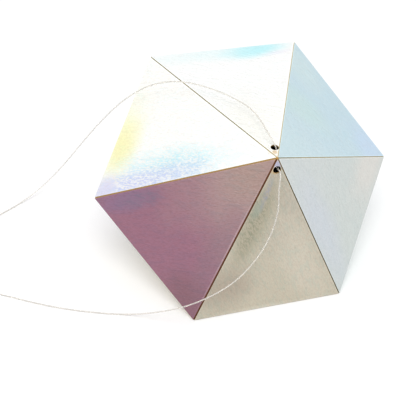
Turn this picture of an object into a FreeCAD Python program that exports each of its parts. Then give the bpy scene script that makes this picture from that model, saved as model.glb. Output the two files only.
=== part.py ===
# Folded card ball: a hexagonal bipyramid made from one sheet of pearlescent card,
# hung on a loop of clear nylon line that passes through two punched holes beside the top point.
# Millimetres. The ball lies on one of its lower panels, as it comes to rest on a table:
# +Z is up, X runs along the lowest girdle edge, and the top point leans towards -Y.
import FreeCAD, Part
import math
import os

from FreeCAD import Vector

DIMENSIONS = (
    ("corner_radius", 37.5, "middle of the ball to each of the six girdle corners"),
    ("ridge_length", 46.0, "one ridge, from a girdle corner to the point"),
    ("card_thickness", 0.35, "pearlescent card of about 300 grams a square metre"),
    ("score_depth", 0.24, "depth of the V cut along each outer fold"),
    ("score_tool_radius", 0.9, "half diagonal of the square cutter that scores the folds"),
    ("glue_line", 0.08, "open line where a raw edge lies over its tab"),
    ("glue_line_depth", 0.3, "how far that line runs in behind the girdle edge"),
    ("tab_width", 6.0, "glue tab, from its fold to its free edge"),
    ("tab_mitre", 5.0, "how much shorter a tab is at each end of its free edge"),
    ("ridge_tab_setback", 5.0, "distance from the end of a ridge to the end of its tab"),
    ("girdle_tab_setback", 1.5, "distance from a girdle corner to the end of an edge tab"),
    ("hole_diameter", 1.8, "punched thread hole"),
    ("top_hole_inset", 3.4, "top point to the hole in the top panel, along its midline"),
    ("top_hole_aside", 0.45, "that hole's distance to the right of the midline"),
    ("front_hole_inset", 2.95, "top point to the hole in the front panel, along its midline"),
    ("thread_diameter", 0.3, "clear nylon line"),
    ("knot_core_radius", 0.42, "strands inside the knot, drawn tight"),
    ("knot_length", 1.5, "knot along the line"),
    ("knot_tail_length", 5.0, "trimmed ends past the knot"),
    ("knot_tail_splay", 14.0, "angle between each trimmed end and the knot, in degrees"),
)

SIDES = 6
PANEL_ANGLE = 360.0 / SIDES
# girdle corners by their angle in the sheet's own frame, before the ball is laid down
FOLDED_UPPER_RIDGES = (0, 60, 120, 180, 300)
GLUED_UPPER_RIDGE_PANEL = 270
FOLDED_LOWER_RIDGES = (0, 60, 120, 180, 240)
GLUED_LOWER_RIDGE_PANEL = 330
# girdle edges by the angle of their middle; the edge at 90 is the fold that joins both halves
FOLDED_GIRDLE_CORNER = 60
GLUED_GIRDLE_EDGES = (30, 150, 210, 270, 330)

# cutters stand this far out of the card, and run this far past it on the inside
CLEAR_OUTSIDE = 1.0
CLEAR_INSIDE = 1.2

# The line's route, chosen by hand: one strand leaves the top hole and runs back over the top
# panel and off the left edge, the other leaves the front hole and runs down the front panel.
# Both lie on the table further left, where they meet in the knot.
KNOT_FACE = Vector(-90.0, 1.85, 0.62)
TOP_STRAND = (
    Vector(-90.0, 2.1, 0.62),
    Vector(-85.5, 2.1, 0.5),
    Vector(-79.5, 4.9, 0.15),
    Vector(-71.0, 12.4, 0.15),
    Vector(-62.5, 18.9, 0.15),
    Vector(-55.0, 23.2, 0.15),
    Vector(-48.3, 26.7, 2.6),
    Vector(-42.4, 28.0, 8.2),
    Vector(-37.8, 26.4, 15.6),
    Vector(-33.9, 23.1, 23.4),
    Vector(-30.3, 19.7, 30.4),
    Vector(-26.2, 16.7, 36.4),
    Vector(-20.9, 13.9, 41.3),
    Vector(-15.2, 10.2, 44.2),
    Vector(-9.2, 6.3, 44.1),
    Vector(-4.8, 2.5, 43.6),
    Vector(-1.5, -1.7, 43.3),
    Vector(-0.3, -6.1, 43.5),
    Vector(0.1, -10.2, 43.9),
    Vector(0.35, -12.4, 43.7),
    Vector(0.45, -13.5, 42.1),
)
INSIDE_STRETCH = (
    Vector(0.45, -13.5, 39.5),
    Vector(0.2, -14.9, 38.0),
    Vector(0.0, -16.6, 38.13),
)
FRONT_STRAND = (
    Vector(0.0, -18.9, 38.58),
    Vector(0.2, -20.2, 37.0),
    Vector(0.5, -20.3, 34.2),
    Vector(0.55, -20.8, 30.4),
    Vector(-0.1, -21.75, 25.6),
    Vector(-1.5, -22.9, 20.8),
    Vector(-4.5, -24.3, 16.4),
    Vector(-8.9, -25.5, 13.1),
    Vector(-14.6, -26.3, 10.6),
    Vector(-20.6, -25.9, 7.4),
    Vector(-26.6, -23.4, 3.5),
    Vector(-33.4, -20.1, 0.15),
    Vector(-42.5, -17.2, 0.15),
    Vector(-52.4, -12.6, 0.15),
    Vector(-61.9, -7.7, 0.15),
    Vector(-71.8, -2.6, 0.15),
    Vector(-80.0, 0.6, 0.15),
    Vector(-85.5, 1.6, 0.5),
    Vector(-90.0, 1.6, 0.62),
)
# share of the shorter run that each arc takes up
ARC_SHARE = 0.45

doc = FreeCAD.newDocument("card_ball")
sheet = doc.addObject("Spreadsheet::Sheet", "Dimensions")
for row, (alias, value, meaning) in enumerate(DIMENSIONS, start=1):
    sheet.set(f"A{row}", alias)
    sheet.set(f"B{row}", str(value))
    sheet.set(f"C{row}", meaning)
    sheet.setAlias(f"B{row}", alias)
doc.recompute()

# Formulas of the bipyramid, written once and used in the expressions below
RADIUS = "Dimensions.corner_radius"
RIDGE = "Dimensions.ridge_length"
CARD = "Dimensions.card_thickness"
SLIT = "Dimensions.glue_line"
TAB = "Dimensions.tab_width"
HALF_HEIGHT = f"sqrt({RIDGE}^2 - {RADIUS}^2)"
APOTHEM = f"({RADIUS} * cos(30))"
PANEL_HEIGHT = f"sqrt({RIDGE}^2 - ({RADIUS} / 2)^2)"
PANEL_TILT = f"atan({HALF_HEIGHT} / {APOTHEM})"
RIDGE_TILT = f"atan({RADIUS} / {HALF_HEIGHT})"
PANEL_DISTANCE = f"({HALF_HEIGHT} * {APOTHEM} / {PANEL_HEIGHT})"
INNER_SHARE = f"(1 - {CARD} / {PANEL_DISTANCE})"
RIDGE_SLOPE = f"atan(2 * {PANEL_HEIGHT} / {RADIUS})"


def turn(axis, angle):
    """Expression of a turn about an axis through the origin."""
    return f"placement(vector(0; 0; 0); rotation(vector({axis}); {angle}))"


def shift(along_x="0", along_y="0", along_z="0"):
    """Expression of a plain move."""
    return f"placement(vector({along_x}; {along_y}; {along_z}); rotation(vector(0; 0; 1); 0))"


def side_of(lower):
    """Expression that leaves the upper half as it is, or turns it over to be the lower half."""
    return turn("1; 0; 0", "180" if lower else "0")


def panel_frame(angle, lower=False):
    """Frame on a panel's outer face: X along its girdle edge, Y towards the point, Z outwards."""
    about = -angle if lower else angle
    return " * ".join((
        side_of(lower),
        turn("0; 0; 1", about),
        shift(along_x=APOTHEM),
        turn("0; 1; 0", PANEL_TILT),
        turn("0; 0; 1", 90),
    ))


def ridge_frame(angle, lower=False):
    """Frame on a ridge: Z from the girdle corner to the point, X straight outwards."""
    about = -angle if lower else angle
    return " * ".join((
        side_of(lower),
        turn("0; 0; 1", about),
        shift(along_x=RADIUS),
        turn("0; 1; 0", f"-{RIDGE_TILT}"),
    ))


def panel_side_frame(angle, lower=False):
    """Panel frame moved to a girdle corner: X up the ridge, Y off the panel, over the ridge."""
    return " * ".join((
        panel_frame(angle, lower),
        shift(along_x=f"-{RADIUS} / 2"),
        turn("0; 0; 1", RIDGE_SLOPE),
    ))


def add(kind, name, placed=None, **sizes):
    """Adds an object whose sizes, and place if given, are expressions on the sheet."""
    made = doc.addObject(kind, name)
    for size, expression in sizes.items():
        made.setExpression(size, str(expression))
    if placed:
        made.setExpression("Placement", placed)
    return made


def join(name, pieces):
    """Fuses several objects into one."""
    joined = doc.addObject("Part::MultiFuse", name)
    joined.Shapes = pieces
    return joined


def combine(kind, name, base, tool):
    """Cut, fusion or common part of two objects."""
    made = doc.addObject(kind, name)
    made.Base = base
    made.Tool = tool
    return made


def combine_in_turn(kind, name, base, tools):
    """Applies each tool to what the one before left."""
    for number, tool in enumerate(tools[:-1], start=1):
        base = combine(kind, f"{name}_step_{number}", base, tool)
    return combine(kind, name, base, tools[-1])


def bipyramid(name, share):
    """Solid hexagonal bipyramid, scaled by a share so that its faces stay parallel."""
    girdle = add("Part::RegularPolygon", f"{name}_girdle", Circumradius=f"{RADIUS} * {share}")
    girdle.Polygon = SIDES
    upper = add("Part::Vertex", f"{name}_upper_point", Z=f"{HALF_HEIGHT} * {share}")
    lower = add("Part::Vertex", f"{name}_lower_point", Z=f"-{HALF_HEIGHT} * {share}")
    solid = doc.addObject("Part::Loft", name)
    solid.Sections = [lower, girdle, upper]
    solid.Solid = True
    solid.Ruled = True
    return solid


def girdle_tab(angle):
    """Tab folded in from an upper panel and glued under the lower panel of the same edge."""
    return add(
        "Part::Wedge", f"girdle_tab_{angle}", panel_frame(angle, lower=True),
        Xmin=f"-{RADIUS} / 2 + Dimensions.girdle_tab_setback",
        Xmax=f"{RADIUS} / 2 - Dimensions.girdle_tab_setback",
        X2min=f"-{RADIUS} / 2 + Dimensions.girdle_tab_setback + Dimensions.tab_mitre",
        X2max=f"{RADIUS} / 2 - Dimensions.girdle_tab_setback - Dimensions.tab_mitre",
        Ymin=-CLEAR_OUTSIDE,
        Ymax=TAB,
        Zmin=f"-2 * {CARD}", Z2min=f"-2 * {CARD}",
        Zmax=f"-{CARD}", Z2max=f"-{CARD}",
    )


def ridge_tab(name, angle, lower=False):
    """Tab folded in from the next panel and glued under this panel's raw edge."""
    return add(
        "Part::Wedge", name, panel_side_frame(angle, lower),
        Xmin="Dimensions.ridge_tab_setback + Dimensions.tab_mitre",
        Xmax=f"{RIDGE} - Dimensions.ridge_tab_setback - Dimensions.tab_mitre",
        X2min="Dimensions.ridge_tab_setback",
        X2max=f"{RIDGE} - Dimensions.ridge_tab_setback",
        Ymin=f"-{TAB}",
        Ymax=CLEAR_OUTSIDE,
        Zmin=f"-2 * {CARD}", Z2min=f"-2 * {CARD}",
        Zmax=f"-{CARD}", Z2max=f"-{CARD}",
    )


def score(name, placed, length):
    """Square bar laid along a fold, corner down, that cuts the V of the score."""
    bar = add(
        "Part::Prism", name,
        f"{placed} * {shift(along_x='Dimensions.score_tool_radius - Dimensions.score_depth')}",
        Circumradius="Dimensions.score_tool_radius", Height=length,
    )
    bar.Polygon = 4
    return bar


def raw_edge_notch(name, angle, lower=False):
    """Room in front of a panel's raw edge, down to the tab that it is glued on."""
    return add(
        "Part::Box", name, f"{panel_side_frame(angle, lower)} * {shift(along_z=f'-{CARD}')}",
        Length=RIDGE, Width=CLEAR_OUTSIDE, Height=CLEAR_OUTSIDE,
    )


def girdle_slit(angle):
    """Open line between a lower panel's raw edge and the fold of the tab under it."""
    start = shift(
        along_x=f"-{RADIUS} / 2", along_y=f"-{CLEAR_OUTSIDE}", along_z=f"-{CARD} - {SLIT}",
    )
    return add(
        "Part::Box", f"girdle_slit_{angle}", f"{panel_frame(angle, lower=True)} * {start}",
        Length=RADIUS, Width=f"{CLEAR_OUTSIDE} + Dimensions.glue_line_depth", Height=SLIT,
    )


def thread_hole(name, angle, inset, aside):
    """Drill through one panel beside the top point, square to its face."""
    centre = shift(
        along_x=aside, along_y=f"{PANEL_HEIGHT} - {inset}",
        along_z=f"-{CARD} - {CLEAR_INSIDE}",
    )
    return add(
        "Part::Cylinder", name, f"{panel_frame(angle)} * {centre}",
        Radius="Dimensions.hole_diameter / 2",
        Height=f"{CARD} + {CLEAR_INSIDE} + {CLEAR_OUTSIDE}",
    )


def card_shell():
    """The whole sheet, folded, glued, scored and punched, then laid on a lower panel."""
    blank = bipyramid("blank", "1")
    inner_space = bipyramid("inner_space", INNER_SHARE)
    hollow = combine("Part::Cut", "folded_walls", blank, inner_space)
    tabs = join("tabs", [girdle_tab(angle) for angle in GLUED_GIRDLE_EDGES] + [
        ridge_tab("upper_ridge_tab", GLUED_UPPER_RIDGE_PANEL),
        ridge_tab("lower_ridge_tab", GLUED_LOWER_RIDGE_PANEL, lower=True),
    ])
    trimmed = combine("Part::Common", "trimmed_tabs", tabs, blank)
    walls = join("glued_walls", [hollow, trimmed])
    cutters = [score(f"upper_score_{a}", ridge_frame(a), RIDGE) for a in FOLDED_UPPER_RIDGES]
    cutters += [
        score(f"lower_score_{a}", ridge_frame(a, lower=True), RIDGE) for a in FOLDED_LOWER_RIDGES
    ]
    along_girdle = " * ".join((
        turn("0; 0; 1", FOLDED_GIRDLE_CORNER + PANEL_ANGLE / 2),
        shift(along_x=APOTHEM, along_y=f"{RADIUS} / 2"),
        turn("1; 0; 0", 90),
    ))
    cutters.append(score("girdle_score", along_girdle, RADIUS))
    cutters.append(raw_edge_notch("upper_raw_edge", GLUED_UPPER_RIDGE_PANEL))
    cutters.append(raw_edge_notch("lower_raw_edge", GLUED_LOWER_RIDGE_PANEL, lower=True))
    cutters += [girdle_slit(angle) for angle in GLUED_GIRDLE_EDGES]
    cutters.append(thread_hole(
        "top_hole", 90, "Dimensions.top_hole_inset", "-Dimensions.top_hole_aside",
    ))
    cutters.append(thread_hole("front_hole", 270, "Dimensions.front_hole_inset", "0"))
    shell = combine_in_turn("Part::Cut", "card_shell", walls, cutters)
    shell.setExpression(
        "Placement", f"{shift(along_z=PANEL_DISTANCE)} * {turn('1; 0; 0', PANEL_TILT)}",
    )
    return shell


def rounded_route(points):
    """Wire of straight runs joined by tangent arcs, and the radius of each arc."""
    edges = []
    radii = []
    start = points[0]
    for before, corner, after in zip(points, points[1:], points[2:]):
        back = before - corner
        ahead = after - corner
        half_turn = (math.pi - back.getAngle(ahead)) / 2
        reach = ARC_SHARE * min(back.Length, ahead.Length)
        arc_start = corner + back.normalize() * reach
        arc_end = corner + ahead.normalize() * reach
        radius = reach / math.tan(half_turn)
        sagitta_from_corner = radius / math.cos(half_turn) - radius
        middle = corner + (back + ahead).normalize() * sagitta_from_corner
        edges.append(Part.LineSegment(start, arc_start).toShape())
        edges.append(Part.Arc(arc_start, middle, arc_end).toShape())
        radii.append(radius)
        start = arc_end
    edges.append(Part.LineSegment(start, points[-1]).toShape())
    return Part.Wire(edges), radii


def hanging_thread():
    """One nylon line, from the knot through both holes and back to the knot."""
    points = list(TOP_STRAND + INSIDE_STRETCH + FRONT_STRAND)
    wire, radii = rounded_route(points)
    print("thread radii:", " ".join(f"{radius:.1f}" for radius in radii))
    route = doc.addObject("Part::Feature", "thread_route")
    route.Shape = wire
    section = add("Part::Circle", "thread_section", Radius="Dimensions.thread_diameter / 2")
    direction = points[1] - points[0]
    section.Placement = FreeCAD.Placement(points[0], FreeCAD.Rotation(Vector(0, 0, 1), direction))
    thread = doc.addObject("Part::Sweep", "hanging_thread")
    thread.Sections = [section]
    thread.Spine = (route, [f"Edge{number}" for number in range(1, len(wire.Edges) + 1)])
    thread.Solid = True
    return thread, wire.Length


def thread_knot():
    """Overhand knot of both strands: the drawn core, three turns round it and two short ends."""
    line = "Dimensions.thread_diameter"
    core_radius = "Dimensions.knot_core_radius"
    length = "Dimensions.knot_length"
    along = (
        f"placement(vector({KNOT_FACE.x}; {KNOT_FACE.y}; {KNOT_FACE.z}); "
        "rotation(vector(0; 1; 0); -90))"
    )
    core = add("Part::Cylinder", "knot_core", along, Radius=core_radius, Height=length)
    pieces = []
    for name, share in (("first_turn", 0.2), ("second_turn", 0.5), ("third_turn", 0.8)):
        pieces.append(add(
            "Part::Torus", name, f"{along} * {shift(along_z=f'{length} * {share}')}",
            Radius1=core_radius, Radius2=f"{line} / 2",
        ))
    for name, side in (("left_end", 1), ("right_end", -1)):
        splay = turn("1; 0; 0", f"{side} * Dimensions.knot_tail_splay")
        droop = turn("0; 1; 0", "-4")
        pieces.append(add(
            "Part::Cylinder", name,
            f"{along} * {shift(along_z=f'{length} / 2')} * {splay} * {droop}",
            Radius=f"{line} / 2", Height=f"{length} / 2 + Dimensions.knot_tail_length",
        ))
    return combine_in_turn("Part::Fuse", "thread_knot", core, pieces)


shell = card_shell()
thread, thread_length = hanging_thread()
knot = thread_knot()
parts = (shell, thread, knot)
for part in parts:
    part.Label = part.Name
doc.recompute()
doc.recompute()

for item in doc.Objects:
    if "Invalid" in item.State or "Error" in item.State:
        raise RuntimeError(f"{item.Name} could not be made: {item.State}")
for part in parts:
    if part.Shape.isNull() or not part.Shape.isValid():
        raise RuntimeError(f"{part.Label} has no valid shape")

section_area = math.pi * (sheet.thread_diameter / 2) ** 2
print(f"thread length {thread_length:.1f} mm")
print(f"thread volume {thread.Shape.Volume:.3f}, section x length {section_area * thread_length:.3f}")
os.makedirs("parts", exist_ok=True)
for part in parts:
    box = part.Shape.BoundBox
    print(
        f"{part.Label}: {len(part.Shape.Solids)} solid, {part.Shape.Volume:.1f} mm3,"
        f" X {box.XMin:.2f} {box.XMax:.2f} Y {box.YMin:.2f} {box.YMax:.2f}"
        f" Z {box.ZMin:.2f} {box.ZMax:.2f}"
    )
    part.Shape.exportStep(f"parts/{part.Label}.step")
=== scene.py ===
"""Looks of a folded pearly card ball that lies on a white table with its hanging line."""

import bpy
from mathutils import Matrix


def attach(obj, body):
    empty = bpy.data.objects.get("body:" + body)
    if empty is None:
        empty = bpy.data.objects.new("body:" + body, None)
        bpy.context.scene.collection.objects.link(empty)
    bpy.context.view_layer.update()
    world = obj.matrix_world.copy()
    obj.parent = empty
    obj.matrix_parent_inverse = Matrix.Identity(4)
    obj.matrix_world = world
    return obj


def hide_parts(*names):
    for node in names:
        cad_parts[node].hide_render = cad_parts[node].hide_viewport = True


bl_info = {
    "name": "Folded card ball",
    "version": (1, 0, 0),
    "blender": (4, 5, 0),
    "location": "3D View > Sidebar > Card ball",
    "description": "Makes a scored and folded pearly card ball, its clear line and a plain stage",
    "category": "Object",
}

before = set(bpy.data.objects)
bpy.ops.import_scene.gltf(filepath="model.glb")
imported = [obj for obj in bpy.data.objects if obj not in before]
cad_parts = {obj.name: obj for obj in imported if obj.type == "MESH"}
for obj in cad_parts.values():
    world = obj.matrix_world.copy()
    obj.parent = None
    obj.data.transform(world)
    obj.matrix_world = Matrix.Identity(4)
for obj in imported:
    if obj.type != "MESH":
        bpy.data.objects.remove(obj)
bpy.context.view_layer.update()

import math

import bpy
from mathutils import Matrix, Quaternion, Vector

MM = 0.001
SIDES = 6
PANEL_TURN = 2 * math.pi / SIDES

# Panels are numbered by the direction they face, anticlockwise from the right, first the six
# round the top point and then the six round the lower point.
RIGHT_BACK, BACK, LEFT_BACK, LEFT_FRONT, FRONT, RIGHT_FRONT = range(SIDES)
UNDER_RIGHT_BACK, UNDER_BACK, UNDER_LEFT_BACK = 6, 7, 8
UNDER_LEFT_FRONT, UNDER_FRONT, UNDER_RIGHT_FRONT = 9, 10, 11
PANELS = 2 * SIDES
PANEL_NAMES = (
    "right_back", "back", "left_back", "left_front", "front", "right_front",
    "under_right_back", "under_back", "under_left_back",
    "under_left_front", "under_front", "under_right_front",
)


# Sizes and colours

def screen(red, green, blue):
    """Colour as a screen shows it, from 0 to 255, for the shaders."""
    return tuple(((part / 255 + 0.055) / 1.055) ** 2.4 for part in (red, green, blue))


def tint(name, red, green, blue):
    """Property for one tint of a panel: the foil's colour, with painted light and shade in the six
    panels round the top point.
    """
    return bpy.props.FloatVectorProperty(
        name=name, description="Colour of the foil there", default=screen(red, green, blue),
        subtype="COLOR", size=3, min=0, max=1)


class CardBallSizes(bpy.types.PropertyGroup):
    corner_radius: bpy.props.FloatProperty(
        name="Corner radius", description="Middle of the ball to each girdle corner",
        default=37.5 * MM, subtype="DISTANCE", precision=5)
    ridge_length: bpy.props.FloatProperty(
        name="Ridge length", description="One ridge, from a girdle corner to the point",
        default=46.0 * MM, subtype="DISTANCE", precision=5)
    card: bpy.props.FloatProperty(
        name="Card", description="Thickness of the card",
        default=0.35 * MM, subtype="DISTANCE", precision=5)
    score_depth: bpy.props.FloatProperty(
        name="Score depth", description="How far the fold lines lie under the panels' edges",
        default=0.2 * MM, subtype="DISTANCE", precision=5)
    panel_bow: bpy.props.FloatProperty(
        name="Panel bow", description="Unevenness in the middle of a panel",
        default=0.22 * MM, subtype="DISTANCE", precision=5)
    panel_rows: bpy.props.IntProperty(
        name="Panel rows", description="Cuts along each side of a panel's mesh", default=21)
    hole: bpy.props.FloatProperty(
        name="Hole", description="Diameter of a thread hole",
        default=1.8 * MM, subtype="DISTANCE", precision=5)
    back_hole_inset: bpy.props.FloatProperty(
        name="Back hole inset", description="Top point to the hole in the back panel",
        default=3.4 * MM, subtype="DISTANCE", precision=5)
    back_hole_aside: bpy.props.FloatProperty(
        name="Back hole aside", description="That hole's distance to the right of the midline",
        default=0.45 * MM, subtype="DISTANCE", precision=5)
    front_hole_inset: bpy.props.FloatProperty(
        name="Front hole inset", description="Top point to the hole in the front panel",
        default=2.95 * MM, subtype="DISTANCE", precision=5)
    thread: bpy.props.FloatProperty(
        name="Thread", description="Diameter of the clear line",
        default=0.3 * MM, subtype="DISTANCE", precision=5)


class CardBallColours(bpy.types.PropertyGroup):
    inside: bpy.props.FloatVectorProperty(
        name="Inside", description="Unfoiled back of the card",
        default=(0.55, 0.5, 0.42), subtype="COLOR", size=3, min=0, max=1)
    line: bpy.props.FloatVectorProperty(
        name="Line", description="Clear nylon", default=(0.95, 0.915, 0.86),
        subtype="COLOR", size=3, min=0, max=1)
    table: bpy.props.FloatVectorProperty(
        name="Table", description="White table", default=(0.94, 0.94, 0.94),
        subtype="COLOR", size=3, min=0, max=1)


# In the six panels round the top point each tint is the foil's colour together with painted light
# and shade: lighter on the panels that face the light, darker on those turned from it.
class CardBallTints(bpy.types.PropertyGroup):
    right_back_point: tint("Right back, point", 202, 223, 230)
    right_back_girdle: tint("Right back, girdle", 197, 221, 231)
    back_point: tint("Back, point", 251, 251, 246)
    back_girdle: tint("Back, girdle", 250, 251, 250)
    left_back_point: tint("Left back, point", 250, 251, 249)
    left_back_girdle: tint("Left back, girdle", 251, 251, 247)
    left_front_point: tint("Left front, point", 168, 140, 138)
    left_front_girdle: tint("Left front, girdle", 151, 103, 122)
    front_point: tint("Front, point", 189, 181, 165)
    front_girdle: tint("Front, girdle", 196, 188, 169)
    right_front_point: tint("Right front, point", 208, 214, 213)
    right_front_girdle: tint("Right front, girdle", 205, 212, 209)
    under_right_back_point: tint("Under, right back, point", 214, 200, 226)
    under_right_back_girdle: tint("Under, right back, girdle", 192, 214, 232)
    under_back_point: tint("Under, back, point", 196, 222, 214)
    under_back_girdle: tint("Under, back, girdle", 224, 224, 196)
    under_left_back_point: tint("Under, left back, point", 222, 204, 214)
    under_left_back_girdle: tint("Under, left back, girdle", 206, 198, 224)
    under_left_front_point: tint("Under, left front, point", 186, 194, 178)
    under_left_front_girdle: tint("Under, left front, girdle", 212, 198, 172)
    under_front_point: tint("Under, front, point", 204, 212, 224)
    under_front_girdle: tint("Under, front, girdle", 212, 204, 220)
    under_right_front_point: tint("Under, right front, point", 216, 210, 186)
    under_right_front_girdle: tint("Under, right front, girdle", 192, 216, 212)


def sizes():
    """The sizes as the user has set them."""
    return bpy.context.scene.card_ball_sizes


def colours():
    """The colours as the user has set them."""
    return bpy.context.scene.card_ball_colours


def tints(place):
    """The panels' tints at one place, point or girdle, panel by panel: foil colour, with painted
    light and shade in the six panels round the top point.
    """
    chosen = bpy.context.scene.card_ball_tints
    return [getattr(chosen, f"{name}_{place}") for name in PANEL_NAMES]


# Geometry of the ball, first upright on its point and then as it lies on the table

def half_height():
    """Girdle to point."""
    return math.sqrt(sizes().ridge_length ** 2 - sizes().corner_radius ** 2)


def apothem():
    """Middle of the ball to the middle of a girdle edge."""
    return sizes().corner_radius * math.cos(PANEL_TURN / 2)


def panel_height():
    """Girdle edge to point, up a panel's midline."""
    return math.hypot(half_height(), apothem())


def panel_distance():
    """Middle of the ball to the plane of a panel."""
    return half_height() * apothem() / panel_height()


def laid_down():
    """Turns the upright ball so that its back panel is level on top, and lifts it on the table."""
    turn = Matrix.Rotation(math.atan2(half_height(), apothem()), 4, "X")
    return Matrix.Translation((0, 0, panel_distance())) @ turn


def panel_axes(panel):
    """Middle of a panel's girdle edge and its directions along that edge, up and outwards."""
    angle = (panel % SIDES + 0.5) * PANEL_TURN
    side = 1 if panel < SIDES else -1
    out = Vector((math.cos(angle), math.sin(angle), 0))
    along = Vector((-math.sin(angle), math.cos(angle), 0))
    foot = out * apothem()
    up = (Vector((0, 0, side * half_height())) - foot).normalized()
    outwards = along.cross(up) * side
    return foot, along, up, outwards


def panel_of(point):
    """Number of the panel that an upright point lies on."""
    turn = math.atan2(point.y, point.x) % (2 * math.pi)
    return int(turn / PANEL_TURN) % SIDES + (0 if point.z > 0 else SIDES)


def place_on(panel, point):
    """Where an upright point lies on a panel: across its midline, and up from its edge."""
    foot, along, up, _ = panel_axes(panel)
    offset = point - foot
    return offset.dot(along), offset.dot(up)


# Blender's tools, as used by hand

def nothing_selected():
    """Leaves edit mode and deselects every object."""
    if bpy.context.object and bpy.context.object.mode != "OBJECT":
        bpy.ops.object.mode_set(mode="OBJECT")
    bpy.ops.object.select_all(action="DESELECT")


def only(piece):
    """Selects one object and makes it the active one."""
    nothing_selected()
    piece.select_set(True)
    bpy.context.view_layer.objects.active = piece


def edit(piece, **chosen):
    """Opens a mesh in edit mode with only the chosen verts, edges or faces selected."""
    only(piece)
    bpy.ops.object.mode_set(mode="EDIT")
    kind = next(iter(chosen), "faces")
    bpy.ops.mesh.select_mode(type={"verts": "VERT", "edges": "EDGE", "faces": "FACE"}[kind])
    bpy.ops.mesh.select_all(action="DESELECT")
    bpy.ops.object.mode_set(mode="OBJECT")
    parts = {"verts": piece.data.vertices, "edges": piece.data.edges,
             "faces": piece.data.polygons}[kind]
    test = chosen.get(kind, lambda part: True)
    for part in parts:
        part.select = test(part)
    bpy.ops.object.mode_set(mode="EDIT")


def finished():
    """Back to object mode."""
    bpy.ops.object.mode_set(mode="OBJECT")


def modify(piece, kind, **settings):
    """Adds a modifier to a piece and applies it."""
    only(piece)
    bpy.ops.object.modifier_add(type=kind)
    modifier = piece.modifiers[-1]
    for setting, value in settings.items():
        setattr(modifier, setting, value)
    bpy.ops.object.modifier_apply(modifier=modifier.name)


def put_down(piece, place):
    """Moves a piece by a matrix and leaves its object at the origin."""
    only(piece)
    piece.matrix_world = place @ piece.matrix_world
    bpy.ops.object.transform_apply(location=True, rotation=True, scale=True)


# Materials: Python's own signs add the Math nodes

class Signal:
    """One value or colour on its way through a material's nodes."""

    def __init__(self, finish, socket):
        self.finish = finish
        self.socket = socket

    def maths(self, operation, *others):
        return self.finish.node("ShaderNodeMath", {"operation": operation}, [self, *others])

    def __add__(self, other):
        return self.maths("ADD", other)

    def __radd__(self, other):
        return self.maths("ADD", other)

    def __sub__(self, other):
        return self.maths("SUBTRACT", other)

    def __rsub__(self, other):
        return (self * -1.0).maths("ADD", other)

    def __mul__(self, other):
        return self.maths("MULTIPLY", other)

    def __rmul__(self, other):
        return self.maths("MULTIPLY", other)

    def __truediv__(self, other):
        return self.maths("DIVIDE", other)

    def __abs__(self):
        return self.maths("ABSOLUTE")

    def most(self, other):
        return self.maths("MAXIMUM", other)

    def is_near(self, value, reach):
        return self.maths("COMPARE", value, reach)

    def other(self, output):
        """Another output of the same node."""
        return Signal(self.finish, self.socket.node.outputs[output])

    def from_to(self, low, high, to_low=0.0, to_high=1.0):
        """Smooth step of the value between two limits."""
        return self.finish.node(
            "ShaderNodeMapRange", {"interpolation_type": "SMOOTHSTEP"},
            [self, low, high, to_low, to_high])


def as_input(colour):
    """A colour as a socket takes it, with its fourth channel."""
    return colour if isinstance(colour, Signal) else (*colour[:3], 1.0)


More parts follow.
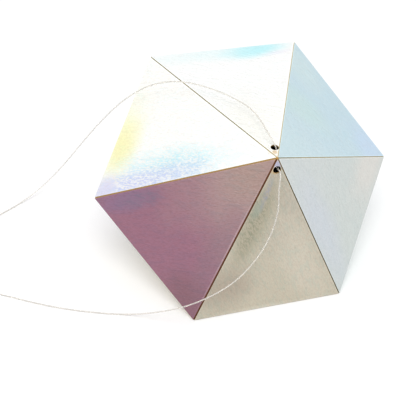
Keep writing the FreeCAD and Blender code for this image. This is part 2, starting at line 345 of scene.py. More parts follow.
class Finish:
    """A material, or the world, in the making."""

    def __init__(self, owner):
        self.owner = owner
        owner.use_nodes = True
        self.tree = owner.node_tree
        self.tree.nodes.clear()

    def node(self, kind, settings=None, inputs=(), output=0):
        """Adds a node: its settings first, then the values or links of its sockets."""
        made = self.tree.nodes.new(kind)
        for setting, value in (settings or {}).items():
            if setting == "stops":
                self.put_stops(made.color_ramp, *value)
            else:
                setattr(made, setting, value)
        pairs = inputs.items() if isinstance(inputs, dict) else enumerate(inputs)
        for key, value in pairs:
            if isinstance(value, Signal):
                self.tree.links.new(value.socket, made.inputs[key])
            elif value is not None:
                made.inputs[key].default_value = value
        return Signal(self, made.outputs[output]) if len(made.outputs) else made

    def put_stops(self, ramp, interpolation, stops):
        """Sets a ramp's (position, colour) stops."""
        ramp.interpolation = interpolation
        while len(ramp.elements) < len(stops):
            ramp.elements.new(1.0)
        for element, (position, colour) in zip(ramp.elements, stops):
            element.position = position
            element.color = (*colour, 1.0)

    def blend(self, first, second, share):
        """Mixes two colours."""
        return self.node(
            "ShaderNodeMix", {"data_type": "RGBA"},
            {0: share, 6: as_input(first), 7: as_input(second)}, output=2)

    def tinted(self, colour, tint, share):
        """Multiplies a colour by a tint, by a share."""
        return self.node(
            "ShaderNodeMix", {"data_type": "RGBA", "blend_type": "MULTIPLY"},
            {0: share, 6: as_input(colour), 7: as_input(tint)}, output=2)

    def ramp(self, value, stops, interpolation="LINEAR"):
        """Colour by a value, from (position, colour) stops."""
        return self.node("ShaderNodeValToRGB", {"stops": (interpolation, stops)}, [value])

    def by_panel(self, number, colours_in_turn):
        """One colour to each panel."""
        stops = [(position / PANELS, colour) for position, colour in enumerate(colours_in_turn)]
        return self.ramp((number + 0.5) / PANELS, stops, "CONSTANT")

    def moved(self, coordinates, middle=(0.0, 0.0), turned=0.0, reach=(1.0, 1.0)):
        """Coordinates round a middle, turned by degrees and measured in reaches."""
        return self.node(
            "ShaderNodeMapping", {"vector_type": "TEXTURE"},
            {"Vector": coordinates, "Location": (*middle, 0.0),
             "Rotation": (0.0, 0.0, math.radians(turned)), "Scale": (*reach, 1.0)})

    def scaled(self, colour, factor):
        """Makes a colour lighter or darker."""
        return self.node(
            "ShaderNodeVectorMath", {"operation": "SCALE"}, {"Vector": colour, "Scale": factor})

    def length(self, vector):
        return self.node("ShaderNodeVectorMath", {"operation": "LENGTH"}, [vector], "Value")

    def attribute(self, name):
        """Value that the piece's mesh carries."""
        return self.node("ShaderNodeAttribute", {"attribute_name": name}, output="Fac")

    def noise(self, coordinates, scale, detail=2.0, roughness=0.5, distortion=0.0):
        return self.node(
            "ShaderNodeTexNoise", inputs={
                "Vector": coordinates, "Scale": scale, "Detail": detail,
                "Roughness": roughness, "Distortion": distortion})

    def bump(self, height, distance, strength=1.0):
        return self.node(
            "ShaderNodeBump",
            inputs={"Height": height, "Distance": distance, "Strength": strength})

    def seen(self):
        """1 where the eye sees it, straight, mirrored or through the clear line, and else 0."""
        straight = self.node("ShaderNodeLightPath", output="Is Camera Ray")
        return straight.most(straight.other("Is Glossy Ray")).most(
            straight.other("Is Transmission Ray"))

    def surface(self, **sockets):
        """Ends the material in a Principled shader with these sockets."""
        values = {name.replace("_", " "): value for name, value in sockets.items()}
        for name, value in values.items():
            if isinstance(value, tuple) and len(value) == 3:
                values[name] = (*value, 1.0)
        shader = self.node("ShaderNodeBsdfPrincipled", inputs=values)
        self.node("ShaderNodeOutputMaterial", inputs=[shader])
        return self.owner


# The card's grain runs one way over the flat sheet, in degrees and millimetres
GRAIN_ANGLE = 112.0
GRAIN_LENGTH = 3.0
GRAIN_WIDTH = 0.9
GRAIN_COOL = (0.90, 0.98, 1.0)
GRAIN_WARM = (0.98, 0.92, 0.90)
FLECK_LENGTH = 0.8
FLECK_WIDTH = 0.27
CRINKLE = 0.3
GRAIN_RELIEF, FLECK_RELIEF = 0.8, 0.35
# Values of the grain and the fleck at which their shades start and are full
GRAIN_BAND = (0.46, 0.62)
FLECK_BAND = (0.52, 0.38)
# Span that a noise mostly stays in
NOISE_SPAN = (0.3, 0.7)
FOIL_METALLIC = 0.35
FOIL_IOR = 1.5
FOIL_ROUGHNESS = (0.3, 0.48)
FOIL_COAT, FOIL_COAT_ROUGHNESS = 0.3, 0.22
# How plainly the grain shows on each panel
GRAIN_SHOWS = (0.22, 0.25, 0.5, 0.9, 0.75, 0.2, 0.5, 0.6, 0.6, 0.5, 0.6, 0.5)
# Soft clouds that bend the edges of the tints and washes: scale, and by how much
CLOUD_SCALE = 0.09
CLOUD_ON_RISE = 16.0
CLOUD_ON_WASH = 0.7
# Height up a panel, in mm, over which the girdle's tint goes over into the point's
TINT_RISE = (8.0, 34.0)
# Share of a wash's reach in which it is full
WASH_FULL = 0.15
# Speckles of a wash: the flecks' share of them, where they start and end, and the least wash
FLECKS_IN_SPECKLE = 0.75
SPECKLE_FROM, SPECKLE_TO, SPECKLE_LEAST = 0.42, 0.57, 0.15
# How much the flecks lighten and darken the foil: partly the grain's own tone, partly painted
# glints and shade of its crinkles
FLECK_TONE_AND_GLINT = 0.3
# Painted highlight along the pressed edge beside each ridge: where it ends and begins, in mm, and
# how much it lightens the foil
EDGE_HIGHLIGHT_END, EDGE_HIGHLIGHT_START, EDGE_HIGHLIGHT_LIFT = 0.5, 0.25, 1.1
# Gold smoke on the scores, this far in mm from the point
SMOKE_AT_POINT = (0.6, 0.15)

# Washes of colour, and one painted highlight: panel, middle across and up it, reach both ways (all
# in mm), turn in degrees, colour, strength, and whether the grain breaks it into speckles
WASHES_AND_HIGHLIGHT = (
    (BACK, (-7.5, 1.8), (12.5, 4.2), 7.0, screen(162, 238, 246), 0.75, False),
    (BACK, (4.0, 2.0), (19.0, 5.0), 0.0, screen(218, 246, 248), 0.42, False),
    (BACK, (-13.0, 3.9), (5.5, 1.3), 8.0, screen(234, 230, 244), 0.4, False),
    (BACK, (2.0, 27.0), (15.0, 6.5), 80.0, screen(230, 225, 209), 0.2, True),
    (LEFT_BACK, (3.5, 0.0), (17.5, 9.0), 0.0, screen(251, 250, 214), 0.85, False),
    (LEFT_BACK, (5.6, 2.2), (10.0, 6.4), 4.0, screen(243, 238, 165), 0.58, False),
    (LEFT_BACK, (7.1, 16.3), (20.5, 6.6), 108.0, screen(178, 226, 236), 0.76, True),
    (LEFT_BACK, (12.0, 11.0), (22.0, 4.6), 114.0, screen(200, 205, 236), 1.0, True),
    (LEFT_BACK, (16.2, 2.2), (6.2, 4.2), 0.0, screen(216, 216, 238), 0.9, False),
    (LEFT_FRONT, (-13.2, 6.6), (11.5, 3.8), 66.0, screen(134, 108, 141), 0.66, False),
    (LEFT_FRONT, (-11.6, 9.4), (9.5, 3.0), 66.0, screen(124, 106, 118), 0.5, True),
    (LEFT_FRONT, (0.0, 35.0), (11.0, 8.0), 90.0, screen(168, 142, 132), 0.7, False),
    (LEFT_FRONT, (13.0, 3.0), (11.0, 8.0), 0.0, screen(130, 92, 102), 0.75, False),
    (LEFT_FRONT, (9.0, 16.0), (19.0, 5.0), 114.0, screen(142, 110, 122), 0.55, False),
    # Painted highlight: a thin pale line along the ridge with the front panel, where the fold's
    # edge would catch the light
    (LEFT_FRONT, (8.95, 20.8), (25.0, 0.24), 114.0, screen(204, 176, 180), 0.5, False),
    (FRONT, (-4.0, 26.0), (19.0, 5.6), 69.0, screen(183, 177, 155), 0.8, False),
    (FRONT, (-4.6, 26.5), (14.5, 3.4), 69.0, screen(128, 124, 98), 0.66, True),
    (FRONT, (-4.0, 29.5), (3.6, 1.5), 69.0, screen(150, 166, 152), 0.5, False),
    (FRONT, (-2.0, 33.5), (6.0, 1.0), 74.0, screen(160, 158, 172), 0.7, True),
    (FRONT, (-12.0, 8.4), (11.5, 9.6), 0.0, screen(175, 163, 146), 0.9, False),
    (FRONT, (0.0, 40.4), (1.6, 2.6), 0.0, screen(180, 180, 206), 0.9, False),
    (FRONT, (0.0, -0.6), (26.0, 2.2), 0.0, screen(226, 220, 204), 0.6, False),
    (FRONT, (7.8, 12.5), (20.0, 7.0), 112.0, screen(206, 198, 181), 0.8, False),
    (RIGHT_FRONT, (-7.5, 16.0), (26.0, 7.0), 66.0, screen(203, 209, 220), 0.6, False),
    (RIGHT_FRONT, (14.0, 6.0), (16.0, 10.0), 0.0, screen(220, 217, 211), 0.85, False),
    (RIGHT_BACK, (-14.0, 4.0), (12.0, 9.0), 0.0, screen(198, 219, 241), 0.8, False),
    (RIGHT_BACK, (13.0, 6.0), (14.0, 9.0), 0.0, screen(207, 227, 229), 0.7, False),
    (RIGHT_BACK, (5.0, 19.0), (13.0, 8.0), 20.0, screen(201, 226, 223), 0.6, False),
    (RIGHT_BACK, (0.0, 34.0), (9.0, 9.0), 0.0, screen(205, 227, 232), 0.6, False),
    (UNDER_RIGHT_BACK, (4.0, 10.0), (14.0, 7.0), 60.0, screen(214, 206, 236), 0.7, True),
    (UNDER_BACK, (-6.0, 14.0), (16.0, 7.0), 112.0, screen(238, 234, 178), 0.7, True),
    (UNDER_LEFT_BACK, (3.0, 22.0), (14.0, 6.0), 70.0, screen(206, 226, 240), 0.8, True),
    (UNDER_LEFT_FRONT, (-7.0, 12.0), (14.0, 6.0), 66.0, screen(156, 168, 150), 0.8, True),
    (UNDER_FRONT, (0.0, 20.0), (16.0, 8.0), 30.0, screen(196, 216, 232), 0.7, True),
    (UNDER_RIGHT_FRONT, (6.0, 12.0), (14.0, 6.0), 110.0, screen(222, 190, 200), 0.7, True),
)

# Smoke stains of the laser: share of the reach in which one is full, how ragged it is, and
# then panel, middle and reach in mm, strength
SMOKE_FULL, SMOKE_RAGGED = 0.45, 0.8
SMOKE_STAIN = screen(212, 170, 92)
SMOKE = (
    (BACK, (0.0, 42.0), 1.2, 0.3),
    (BACK, (0.0, 40.1), 0.8, 0.6),
    (LEFT_BACK, (-1.0, 40.0), 0.9, 0.25),
    (LEFT_FRONT, (0.0, 42.0), 1.2, 0.35),
    (FRONT, (-0.35, 38.9), 1.2, 0.45),
    (FRONT, (0.0, 42.0), 1.0, 0.4),
    (RIGHT_FRONT, (0.0, 42.0), 0.9, 0.25),
)


def pearl_card():
    """Foil-faced card: one soft tint to a panel, with painted light and shade in the six panels
    round the top point, washes of colour, a painted highlight along the ridges and a fine crinkled
    grain with painted glints.
    """
    finish = Finish(bpy.data.materials.new("pearl_card"))
    panel = finish.attribute("panel")
    spot = finish.node("ShaderNodeUVMap", {"uv_map": "panel_mm"})
    sheet = finish.node("ShaderNodeUVMap", {"uv_map": "sheet_mm"})
    across = finish.node("ShaderNodeSeparateXYZ", inputs=[spot])
    up = across.other("Y")
    grain_way = finish.moved(sheet, turned=GRAIN_ANGLE, reach=(GRAIN_LENGTH, GRAIN_WIDTH))
    grain = finish.noise(grain_way, 1.0, detail=3.0, roughness=0.6, distortion=0.9)
    cloud = finish.noise(sheet, CLOUD_SCALE, detail=2.0)
    fleck_way = finish.moved(sheet, turned=GRAIN_ANGLE, reach=(FLECK_LENGTH, FLECK_WIDTH))
    fleck = finish.noise(fleck_way, 1.0, detail=2.0, roughness=0.6, distortion=0.5)

    # Each panel's tint: foil colour, with painted light and shade in the six panels round the top
    # point
    near_point = finish.by_panel(panel, tints("point"))
    near_girdle = finish.by_panel(panel, tints("girdle"))
    rise = up + (cloud - 0.5) * CLOUD_ON_RISE
    colour = finish.blend(near_girdle, near_point, rise.from_to(*TINT_RISE))
    speckle = fleck * FLECKS_IN_SPECKLE + grain * (1 - FLECKS_IN_SPECKLE)
    speckle = speckle.from_to(SPECKLE_FROM, SPECKLE_TO, SPECKLE_LEAST, 1.0)
    # Washes of colour, and the painted highlight along the left front panel's ridge
    for marked_panel, middle, reach, turned, tint, strength, speckled in WASHES_AND_HIGHLIGHT:
        distance = finish.length(finish.moved(spot, middle, turned, reach))
        spread = distance + (cloud - 0.5) * CLOUD_ON_WASH
        cover = spread.from_to(WASH_FULL, 1.0, strength, 0.0) * panel.is_near(marked_panel, 0.5)
        if speckled:
            cover = cover * speckle
        colour = finish.blend(colour, tint, cover)
    show = finish.by_panel(panel, [(share, share, share) for share in GRAIN_SHOWS])
    colour = finish.tinted(colour, GRAIN_COOL, grain.from_to(*GRAIN_BAND) * show)
    colour = finish.tinted(colour, GRAIN_WARM, fleck.from_to(*FLECK_BAND) * show)
    # Flecks lighten and darken the foil: grain tone, and painted glints and shade of the crinkles
    colour = finish.scaled(colour, (fleck - 0.5) * show * FLECK_TONE_AND_GLINT + 1.0)
    for burnt_panel, middle, reach, strength in SMOKE:
        distance = finish.length(finish.moved(spot, middle, 0.0, (reach, reach)))
        ragged = distance + (fleck - 0.5) * SMOKE_RAGGED
        stain = ragged.from_to(SMOKE_FULL, 1.0, strength, 0.0)
        colour = finish.blend(colour, SMOKE_STAIN, stain * panel.is_near(burnt_panel, 0.5))

    # Painted highlight: the pressed edge of each panel is lightened along its two ridges, as
    # though it caught the light
    half_foot = sizes().corner_radius / 2 / MM
    height = panel_height() / MM
    ridge = sizes().ridge_length / MM
    from_ridge = (half_foot * height - abs(across) * height - up * half_foot) / ridge
    colour = finish.scaled(colour, from_ridge.from_to(EDGE_HIGHLIGHT_END, EDGE_HIGHLIGHT_START, 1.0, EDGE_HIGHLIGHT_LIFT))
    relief = grain * GRAIN_RELIEF + fleck * FLECK_RELIEF
    return finish.surface(
        Base_Color=colour,
        Metallic=FOIL_METALLIC,
        Roughness=grain.from_to(*NOISE_SPAN, *FOIL_ROUGHNESS),
        IOR=FOIL_IOR,
        Coat_Weight=FOIL_COAT,
        Coat_Roughness=FOIL_COAT_ROUGHNESS,
        Normal=finish.bump(relief, CRINKLE * MM))


# Bare card core, the olive of faint scores, and the gold to brown of burnt edges
SCORCH_SHADES = (
    (0.0, screen(230, 223, 202)),
    (0.15, screen(202, 191, 150)),
    (0.3, screen(152, 142, 94)),
    (0.45, screen(92, 84, 58)),
    (0.6, screen(188, 156, 100)),
    (0.8, screen(126, 80, 34)),
    (1.0, screen(82, 40, 6)),
)
# Clouds in the scorch: scale, and how far they shift its shade
SCORCH_CLOUDS, SCORCH_CLOUDING = 0.35, 0.16
# Fibres of the core and of the card's back: scale, relief in mm and how much of it shows
CORE_FIBRES, CORE_RELIEF, CORE_RELIEF_SHOWS = 4.0, 0.04, 0.6
INSIDE_FIBRES, INSIDE_RELIEF, INSIDE_RELIEF_SHOWS = 900.0, 0.05, 0.5
INSIDE_SHADE = (0.8, 0.78, 0.74)
BARE_ROUGHNESS, INSIDE_ROUGHNESS = 0.75, 0.9

# Drawing marks of the line
LINE_MARKS = 700.0
LINE_MARK_SHADE = (0.95, 0.95, 0.95)
LINE_ROUGHNESS = (0.16, 0.28)
LINE_CLEARNESS = 0.5
NYLON_IOR = 1.53


def burnt_core():
    """Bare card core along the scores, from pale to scorched brown."""
    finish = Finish(bpy.data.materials.new("burnt_core"))
    scorch = finish.attribute("scorch")
    sheet = finish.node("ShaderNodeUVMap", {"uv_map": "sheet_mm"})
    spot = finish.node("ShaderNodeUVMap", {"uv_map": "panel_mm"})
    up = finish.node("ShaderNodeSeparateXYZ", inputs=[spot]).other("Y")
    clouds = finish.noise(sheet, SCORCH_CLOUDS, detail=3.0)
    colour = finish.ramp(scorch + (clouds - 0.5) * SCORCH_CLOUDING, SCORCH_SHADES)
    point = panel_height() / MM
    smoked = up.from_to(*(point - below for below in SMOKE_AT_POINT))
    colour = finish.blend(colour, SMOKE_STAIN, smoked)
    fibres = finish.noise(sheet, CORE_FIBRES, detail=3.0)
    return finish.surface(
        Base_Color=colour, Roughness=BARE_ROUGHNESS,
        Normal=finish.bump(fibres, CORE_RELIEF * MM, CORE_RELIEF_SHOWS))


def card_back():
    """Plain unfoiled side, inside the ball."""
    finish = Finish(bpy.data.materials.new("card_back"))
    place = finish.node("ShaderNodeTexCoord", output="Object")
    fibres = finish.noise(place, INSIDE_FIBRES, detail=4.0)
    colour = finish.tinted(colours().inside, INSIDE_SHADE, fibres)
    return finish.surface(
        Base_Color=colour, Roughness=INSIDE_ROUGHNESS,
        Normal=finish.bump(fibres, INSIDE_RELIEF * MM, INSIDE_RELIEF_SHOWS))


def clear_line():
    """Clear nylon with the faint drawing marks of its surface."""
    finish = Finish(bpy.data.materials.new("clear_line"))
    place = finish.node("ShaderNodeTexCoord", output="Object")
    marks = finish.noise(place, LINE_MARKS, detail=2.0)
    return finish.surface(
        Base_Color=finish.tinted(colours().line, LINE_MARK_SHADE, marks),
        Roughness=marks.from_to(*NOISE_SPAN, *LINE_ROUGHNESS),
        IOR=NYLON_IOR,
        Transmission_Weight=LINE_CLEARNESS)


# Light that the eye sees on the table besides its own, and where, in metres from the ball,
# it goes over into white
TABLE_LIFT = 0.08
TABLE_FADE = (0.16, 0.5)
MOTTLE_SCALE = 6.0
MOTTLE_SHADE = (0.985, 0.985, 0.985)
TABLE_ROUGHNESS, TABLE_SHINE = 0.85, 0.2

# Light of the world on the ball, as a share of the white that the eye sees
WORLD_STRENGTH = 0.71
WHITE = (1.0, 1.0, 1.0, 1.0)


def white_table():
    """White table, faintly mottled, that goes over into the white surroundings."""
    finish = Finish(bpy.data.materials.new("white_table"))
    place = finish.node("ShaderNodeTexCoord", output="Object")
    mottle = finish.noise(place, MOTTLE_SCALE, detail=3.0)
    top = finish.node("ShaderNodeBsdfPrincipled", inputs={
        "Base Color": finish.tinted(colours().table, MOTTLE_SHADE, mottle),
        "Roughness": TABLE_ROUGHNESS, "Specular IOR Level": TABLE_SHINE})
    lift = finish.node("ShaderNodeEmission", inputs={"Strength": TABLE_LIFT})
    lifted = finish.node("ShaderNodeAddShader", inputs=[top, lift])
    white = finish.node("ShaderNodeEmission", inputs={"Strength": 1.0})
    far = finish.length(place).from_to(*TABLE_FADE)
    beside = finish.node("ShaderNodeMixShader", inputs=[far, lifted, white])
    shader = finish.node("ShaderNodeMixShader", inputs=[finish.seen(), top, beside])
    finish.node("ShaderNodeOutputMaterial", inputs=[shader])
    return finish.owner


def soft_room():
    """White world that lights the ball a little less than it shows."""
    finish = Finish(bpy.data.worlds.new("soft_room"))
    light = finish.node("ShaderNodeBackground", inputs=[WHITE, WORLD_STRENGTH])
    white = finish.node("ShaderNodeBackground", inputs=[WHITE, 1.0])
    room = finish.node("ShaderNodeMixShader", inputs=[finish.seen(), light, white])
    finish.node("ShaderNodeOutputWorld", inputs=[room])
    return finish.owner


# Pieces

# Score of each panel along its two ridges, clockwise one first: half width in mm, how dark it is
# and how dark near the point
RIDGE_SCORES = (
    ((0.11, 0.18, 0.3), (0.11, 0.1, 0.1)),
    ((0.11, 0.07, 0.1), (0.13, 0.3, 0.12)),
    ((0.12, 0.27, 0.1), (0.21, 0.59, 0.6)),
    ((0.15, 0.69, 0.62), (0.28, 0.94, 0.92)),
    ((0.13, 0.98, 0.9), (0.14, 0.46, 0.84)),
    ((0.14, 0.43, 0.5), (0.11, 0.18, 0.3)),
    ((0.13, 0.32, 0.3), (0.13, 0.24, 0.5)),
    ((0.13, 0.24, 0.5), (0.14, 0.6, 0.8)),
    ((0.14, 0.6, 0.8), (0.28, 0.85, 0.9)),
    ((0.14, 0.9, 0.9), (0.13, 0.32, 0.6)),
    ((0.13, 0.32, 0.6), (0.14, 0.7, 0.4)),
    ((0.14, 0.7, 0.4), (0.13, 0.32, 0.3)),
)
POINT_REACH = 9.0
# Score of the girdle: half width in mm and how dark it is
GIRDLE_SCORE = (0.12, 0.14)
# A strip whose middle is lower than this share of the half width belongs to the girdle
GIRDLE_STRIP_SHARE = 0.7
HOLE_SCORCH = 0.62

# The card's materials by their slots
PEARL, CORE, INSIDE = range(3)

# Points closer than this are one, and edges longer than that run along a panel
SAME_PLACE = 0.01 * MM
LONG_EDGE = 5 * MM
# Faces that meet at less than this angle look smooth
SMOOTH_BELOW = math.radians(12)
# The panels' unevenness: its size, and how far in from a panel's edge it is full
BOW_SIZE = 17 * MM
BOW_REACH = 5 * MM
# Punch of the thread holes: its sides and its depth
HOLE_SIDES = 48
CUTTER_DEPTH = 2.4 * MM


def lay_out(piece):
    """Gives the upright card its maps: each panel's own, the flat sheet's and panel numbers."""
    mesh = piece.data
    panel_map = mesh.uv_layers.new(name="panel_mm")
    sheet_map = mesh.uv_layers.new(name="sheet_mm")
    numbers = mesh.attributes.new("panel", "FLOAT", "FACE")
    fan_step = 2 * math.asin(sizes().corner_radius / 2 / sizes().ridge_length)
    for face in mesh.polygons:
        panel = panel_of(face.center)
        numbers.data[face.index].value = panel
        order = (panel - FRONT) % SIDES
        turn = fan_step * order * (1 if panel < SIDES else -1)
        for corner in face.loop_indices:
            vertex = mesh.vertices[mesh.loops[corner].vertex_index]
            across, height = place_on(panel, vertex.co)
            panel_map.data[corner].uv = (across / MM, height / MM)
            below = height - panel_height()
            flat_x = across * math.cos(turn) - below * math.sin(turn)
            flat_y = across * math.sin(turn) + below * math.cos(turn)
            if panel >= SIDES:
                flat_y = 2 * -panel_height() - flat_y
            sheet_map.data[corner].uv = (flat_x / MM, flat_y / MM)


def double_pyramid(name, share=1.0):
    """Closed mesh of the ball's twelve panels, upright."""
    nothing_selected()
    rise = half_height() * share
    bpy.ops.mesh.primitive_cone_add(
        vertices=SIDES, radius1=sizes().corner_radius * share, radius2=0, depth=rise,
        end_fill_type="NOTHING", location=(0, 0, rise / 2), rotation=(0, 0, PANEL_TURN / 2))
    piece = bpy.context.object
    piece.name = name
    bpy.ops.object.transform_apply(location=True, rotation=True, scale=True)
    modify(piece, "MIRROR", use_axis=(False, False, True), merge_threshold=SAME_PLACE)
    return piece


def score_folds(piece):
    """Frames each panel with the strips of the scores and sinks the fold lines between them."""
    girdle_width = GIRDLE_SCORE[0] * MM
    edit(piece)
    bpy.ops.mesh.inset(
        thickness=girdle_width, depth=0, use_individual=True, use_even_offset=True)
    finished()
    moves = []
    for face in piece.data.polygons:
        if not is_strip(face):
            moves += set_scores(piece, face, girdle_width)
    for number, move in moves:
        edit(piece, verts=lambda vert: vert.index == number)
        bpy.ops.transform.translate(value=move)
        finished()
    corners = [Vector((0, 0, half_height())), Vector((0, 0, -half_height()))]
    corners += [
        Vector((math.cos(k * PANEL_TURN), math.sin(k * PANEL_TURN), 0)) * sizes().corner_radius
        for k in range(SIDES)]
    edit(piece, verts=lambda vert: any((vert.co - c).length < SAME_PLACE for c in corners))
    sunk = 1 - sizes().score_depth / panel_distance()
    bpy.ops.transform.resize(value=(sunk, sunk, sunk), center_override=(0, 0, 0))
    finished()


def set_scores(piece, face, girdle_width):
    """Moves for a panel's three corners that give each of its ridges its own score width."""
    panel = panel_of(face.center)
    _, along, up, _ = panel_axes(panel)
    lean = math.atan2(panel_height(), sizes().corner_radius / 2)
    low_ridge = along * math.cos(lean) + up * math.sin(lean)
    high_ridge = up * math.sin(lean) - along * math.cos(lean)
    low, high = (score[0] * MM - girdle_width for score in RIDGE_SCORES[panel])
    moves = []
    for number in face.vertices:
        across, height = place_on(panel, piece.data.vertices[number].co)
        if height > panel_height() / 2:
            move = (high_ridge * low + low_ridge * high) * -1 / math.sin(math.pi - 2 * lean)
        elif across < 0:
            move = along * low / math.sin(lean)
        else:
            move = along * -high / math.sin(lean)
        moves.append((number, move))
    return moves


def is_strip(face):
    """Tells the narrow strips of the scores from the panels' own faces."""
    return len(face.vertices) == 4


def is_long(piece, edge):
    """Tells the edges that run along a panel from those across a strip."""
    first, second = (piece.data.vertices[index].co for index in edge.vertices)
    return (first - second).length > LONG_EDGE


def bow_panels(piece):
    """Lets the middle of each panel, but not the one it lies on, be a little uneven."""
    middle = piece.vertex_groups.new(name="panel_middle")
    for vert in piece.data.vertices:
        panel = panel_of(vert.co)
        if panel == UNDER_FRONT:
            continue
        across, height = place_on(panel, vert.co)
        beside = (panel_height() - height) / panel_height() * sizes().corner_radius / 2
        room = min(height, beside - abs(across))
        middle.add([vert.index], min(1.0, max(0.0, room / BOW_REACH)), "REPLACE")
    unevenness = bpy.data.textures.new("panel_unevenness", "CLOUDS")
    unevenness.noise_scale = BOW_SIZE
    modify(
        piece, "DISPLACE", texture=unevenness, texture_coords="LOCAL", mid_level=0.5,
        strength=sizes().panel_bow * 2, vertex_group="panel_middle")


def punch(piece, panel, across, inset):
    """Punches one thread hole through a panel of the lying ball."""
    foot, along, up, outwards = panel_axes(panel)
    nothing_selected()
    bpy.ops.mesh.primitive_cylinder_add(
        vertices=HOLE_SIDES, radius=sizes().hole / 2, depth=CUTTER_DEPTH)
    cutter = bpy.context.object
    turn = outwards.to_track_quat("Z", "Y").to_matrix().to_4x4()
    centre = foot + along * across + up * (panel_height() - inset)
    cutter.matrix_world = Matrix.Translation(centre) @ turn
    for slot in piece.material_slots:
        cutter.data.materials.append(slot.material)
    scorch = cutter.data.attributes.new("scorch", "FLOAT", "FACE")
    for face in cutter.data.polygons:
        face.material_index = CORE
        scorch.data[face.index].value = HOLE_SCORCH
    modify(piece, "BOOLEAN", object=cutter, operation="DIFFERENCE", solver="EXACT")
    nothing_selected()
    cutter.select_set(True)
    bpy.ops.object.delete()


def scorch_strips(piece):
    """Notes on each strip how dark the laser left it."""
    scorch = piece.data.attributes.new("scorch", "FLOAT", "FACE")
    for face in piece.data.polygons:
        if face.material_index != CORE:
            continue
        panel = panel_of(face.center)
        across, height = place_on(panel, face.center)
        if height < GIRDLE_STRIP_SHARE * GIRDLE_SCORE[0] * MM:
            scorch.data[face.index].value = GIRDLE_SCORE[1]
        else:
            _, away, at_point = RIDGE_SCORES[panel][0 if across < 0 else 1]
            share = max(0.0, 1 - (panel_height() - height) / (POINT_REACH * MM))
            scorch.data[face.index].value = away + (at_point - away) * share


class CARDBALL_OT_card_sheet(bpy.types.Operator):
    """Fold, score and punch the card sheet"""
    bl_idname = "card_ball.card_sheet"
    bl_label = "Card sheet"

    def execute(self, context):
        outside = double_pyramid("card_sheet")
        for material in (pearl_card(), burnt_core(), card_back()):
            outside.data.materials.append(material)
        score_folds(outside)
        for face in outside.data.polygons:
            face.material_index = CORE if is_strip(face) else PEARL
        edit(outside, edges=lambda edge: is_long(outside, edge))
        bpy.ops.mesh.subdivide(number_cuts=sizes().panel_rows)
        finished()
        lay_out(outside)
        scorch_strips(outside)
        bow_panels(outside)
        inside = double_pyramid("card_inside", 1 - sizes().card / panel_distance())
        for slot in outside.material_slots:
            inside.data.materials.append(slot.material)
        for face in inside.data.polygons:
            face.material_index = INSIDE
        edit(inside)
        bpy.ops.mesh.flip_normals()
        finished()
        only(inside)
        outside.select_set(True)
        bpy.context.view_layer.objects.active = outside
        bpy.ops.object.join()
        punch(outside, BACK, -sizes().back_hole_aside, sizes().back_hole_inset)
        punch(outside, FRONT, 0.0, sizes().front_hole_inset)
        put_down(outside, laid_down())
        only(outside)
        bpy.ops.object.shade_smooth_by_angle(angle=SMOOTH_BELOW)
        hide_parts("card_shell")
        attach(outside, "root")
        return {"FINISHED"}


# The line's two strands, from under the point out of their holes to the knot, in millimetres
BACK_STRAND = (
    (0.2, -14.9, 38.0),
    (0.8, -14.4, 39.6),
    (0.7, -13.9, 41.2),
    (0.1, -12.9, 42.5),
    (-0.6, -10.6, 43.4),
    (-0.8, -6.6, 43.5),
    (-1.7, -1.7, 43.4),
    (-4.8, 2.5, 43.6),
    (-9.2, 6.3, 44.1),
    (-15.2, 10.0, 44.2),
    (-20.9, 13.7, 41.3),
    (-26.1, 16.4, 36.4),
    (-30.0, 19.1, 30.5),
    (-33.6, 22.4, 23.5),
    (-37.6, 25.6, 15.6),
    (-42.2, 27.2, 8.2),
    (-48.2, 26.1, 2.6),
    (-55.0, 22.9, 0.15),
    (-62.5, 18.7, 0.15),
    (-71.0, 12.4, 0.15),
    (-79.5, 4.9, 0.15),
    (-85.5, 2.1, 0.5),
    (-90.0, 2.1, 0.62),
)
FRONT_STRAND = (
    (0.2, -14.9, 38.0),
    (0.3, -16.6, 38.1),
    (0.4, -18.8, 38.6),
    (-0.1, -20.1, 37.4),
    (-0.1, -20.2, 34.8),
    (0.3, -20.85, 30.4),
    (-0.4, -21.8, 25.6),
    (-2.1, -22.9, 21.1),
    (-5.3, -24.3, 16.6),
    (-9.6, -25.5, 12.6),
    (-15.0, -26.2, 9.9),
    (-20.9, -25.9, 7.2),
    (-26.7, -23.5, 3.6),
    (-33.4, -20.2, 0.15),
    (-42.5, -17.4, 0.15),
    (-52.1, -13.3, 0.15),
    (-61.9, -7.7, 0.15),
    (-71.8, -2.6, 0.15),
    (-80.0, 0.6, 0.15),
    (-85.5, 1.6, 0.5),
    (-90.0, 1.6, 0.62),
)
KNOT_FACE = (-90.0, 1.85, 0.62)
# Smoothness of the line, round it and along it
LINE_ROUNDNESS = 3
LINE_STEPS = 10
# The strand wound round the knot, in millimetres but for the turns
KNOT_TURNS = 3.25
KNOT_STEPS_TO_A_TURN = 8
KNOT_PITCH = 0.36
KNOT_RADIUS = 0.33
KNOT_TUCK = 0.1
KNOT_START = 0.15
# A trimmed end from inside the knot, along, beside and above it, and its tip without the height
KNOT_END = ((0.05, 0.25, 0.0), (-0.7, -0.1, 0.0), (-2.2, 0.25, -0.1), (-4.3, 0.8, -0.3))
KNOT_END_TIP = (-6.2, 1.3)
# The two ends: side that each leaves on, and the height of its tip against the knot's middle
KNOT_ENDS = ((1, -0.45), (-1, -0.38))


def strand(name, points, material):
    """Round line along a smooth route through its control points, given in millimetres."""
    curve = bpy.data.curves.new(name, "CURVE")
    curve.dimensions = "3D"
    curve.bevel_depth = sizes().thread / 2
    curve.bevel_resolution = LINE_ROUNDNESS
    curve.resolution_u = LINE_STEPS
    curve.use_fill_caps = True
    add_spline(curve, points)
    curve.materials.append(material)
    piece = bpy.data.objects.new(name, curve)
    bpy.context.collection.objects.link(piece)
    return piece


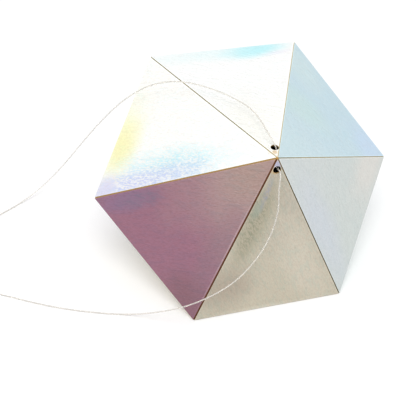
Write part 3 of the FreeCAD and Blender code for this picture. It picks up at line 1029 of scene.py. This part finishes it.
def add_spline(curve, points):
    """Adds one open smooth spline to a curve."""
    spline = curve.splines.new("NURBS")
    spline.points.add(len(points) - 1)
    for spot, (x, y, z) in zip(spline.points, points):
        spot.co = (x * MM, y * MM, z * MM, 1.0)
    spline.order_u = 3
    spline.use_endpoint_u = True


def knot_turns():
    """Turns of the knot round its two strands, as points in millimetres."""
    x, y, z = KNOT_FACE
    points = [(x - KNOT_TUCK, y, z)]
    for step in range(int(KNOT_TURNS * KNOT_STEPS_TO_A_TURN) + 1):
        angle = 2 * math.pi * step / KNOT_STEPS_TO_A_TURN
        along = KNOT_START + KNOT_PITCH * step / KNOT_STEPS_TO_A_TURN
        beside = KNOT_RADIUS * math.cos(angle)
        above = KNOT_RADIUS * math.sin(angle)
        points.append((x - along, y + beside, z + above))
    points.append((x - along, y, z))
    return points


def knot_end(side, droop):
    """Points of one trimmed end, from inside the knot to its tip, in millimetres."""
    x, y, z = KNOT_FACE
    points = [(x + along, y + side * beside, z + above) for along, beside, above in KNOT_END]
    along, beside = KNOT_END_TIP
    points.append((x + along, y + side * beside, z + droop))
    return points


class CARDBALL_OT_hanging_line(bpy.types.Operator):
    """Lay the clear line out of its two holes and knot it"""
    bl_idname = "card_ball.hanging_line"
    bl_label = "Hanging line"

    def execute(self, context):
        material = clear_line()
        back = strand("line_back_strand", BACK_STRAND, material)
        front = strand("line_front_strand", FRONT_STRAND, material)
        knot = strand("line_knot", knot_turns(), material)
        for side, droop in KNOT_ENDS:
            add_spline(knot.data, knot_end(side, droop))
        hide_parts("hanging_thread")
        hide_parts("hanging_thread")
        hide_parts("thread_knot")
        for piece in (back, front, knot):
            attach(piece, "root")
        return {"FINISHED"}


# Stage

CAMERA_PLACE = (-48.82, -122.74, 141.09)
CAMERA_AIM = (-11.98, -8.75, 20.6)
CAMERA_ROLL = 4.293
CAMERA_FOCAL_SHARE = 1.7373
SENSOR_WIDTH = 36.0
NEAREST_SEEN = 0.005


class CARDBALL_OT_camera(bpy.types.Operator):
    """Set the camera where the ball fills the view as in a close product shot"""
    bl_idname = "card_ball.camera"
    bl_label = "Camera"

    def execute(self, context):
        lens = bpy.data.cameras.new("camera")
        lens.sensor_width = SENSOR_WIDTH
        lens.lens = lens.sensor_width * CAMERA_FOCAL_SHARE
        lens.clip_start = NEAREST_SEEN
        camera = bpy.data.objects.new("camera", lens)
        bpy.context.collection.objects.link(camera)
        place = Vector(CAMERA_PLACE) * MM
        view = (Vector(CAMERA_AIM) * MM - place).to_track_quat("-Z", "Y")
        roll = Quaternion((0, 0, 1), math.radians(CAMERA_ROLL))
        camera.matrix_world = Matrix.Translation(place) @ (view @ roll).to_matrix().to_4x4()
        bpy.context.scene.camera = camera
        return {"FINISHED"}


# Soft box: name, place in mm, width in mm, watts
LAMPS = (
    ("key_box", (-130.0, -255.0, 800.0), 600.0, 3.15),
)
LAMP_AIM = (0.0, 0.0, 20.0)
TABLE_RADIUS = 4.0
TABLE_SIDES = 96


class CARDBALL_OT_stage(bpy.types.Operator):
    """Set up the white table, the soft box and the world"""
    bl_idname = "card_ball.stage"
    bl_label = "Stage"

    def execute(self, context):
        scene = bpy.context.scene
        scene.view_settings.view_transform = "Standard"
        nothing_selected()
        bpy.ops.mesh.primitive_circle_add(
            vertices=TABLE_SIDES, radius=TABLE_RADIUS, fill_type="NGON")
        table = bpy.context.object
        table.name = "table"
        table.data.materials.append(white_table())
        for name, place, width, watts in LAMPS:
            lamp = bpy.data.lights.new(name, "AREA")
            lamp.shape = "DISK"
            lamp.size = width * MM
            lamp.energy = watts
            holder = bpy.data.objects.new(name, lamp)
            bpy.context.collection.objects.link(holder)
            at = Vector(place) * MM
            aim = (Vector(LAMP_AIM) * MM - at).to_track_quat("-Z", "Y")
            holder.matrix_world = Matrix.Translation(at) @ aim.to_matrix().to_4x4()
        scene.world = soft_room()
        return {"FINISHED"}


class CARDBALL_PT_panel(bpy.types.Panel):
    """Lists the steps and sizes of the card ball"""
    bl_idname = "CARDBALL_PT_panel"
    bl_label = "Card ball"
    bl_space_type = "VIEW_3D"
    bl_region_type = "UI"
    bl_category = "Card ball"

    def draw(self, context):
        layout = self.layout
        for step in STEPS:
            layout.operator(step.bl_idname)
        scene = context.scene
        for group in (scene.card_ball_sizes, scene.card_ball_colours, scene.card_ball_tints):
            box = layout.box()
            for name in group.__annotations__:
                box.prop(group, name)


STEPS = (
    CARDBALL_OT_camera,
    CARDBALL_OT_hanging_line,
    CARDBALL_OT_card_sheet,
    CARDBALL_OT_stage,
)
CLASSES = (CardBallSizes, CardBallColours, CardBallTints, *STEPS, CARDBALL_PT_panel)


def register():
    for made in CLASSES:
        bpy.utils.register_class(made)
    bpy.types.Scene.card_ball_sizes = bpy.props.PointerProperty(type=CardBallSizes)
    bpy.types.Scene.card_ball_colours = bpy.props.PointerProperty(type=CardBallColours)
    bpy.types.Scene.card_ball_tints = bpy.props.PointerProperty(type=CardBallTints)


def unregister():
    del bpy.types.Scene.card_ball_tints
    del bpy.types.Scene.card_ball_colours
    del bpy.types.Scene.card_ball_sizes
    for made in reversed(CLASSES):
        bpy.utils.unregister_class(made)


def main():
    register()
    bpy.ops.card_ball.camera()
    bpy.ops.card_ball.hanging_line()
    bpy.ops.card_ball.card_sheet()
    bpy.ops.card_ball.stage()
    bpy.context.view_layer.update()


if __name__ == "__main__":
    main()
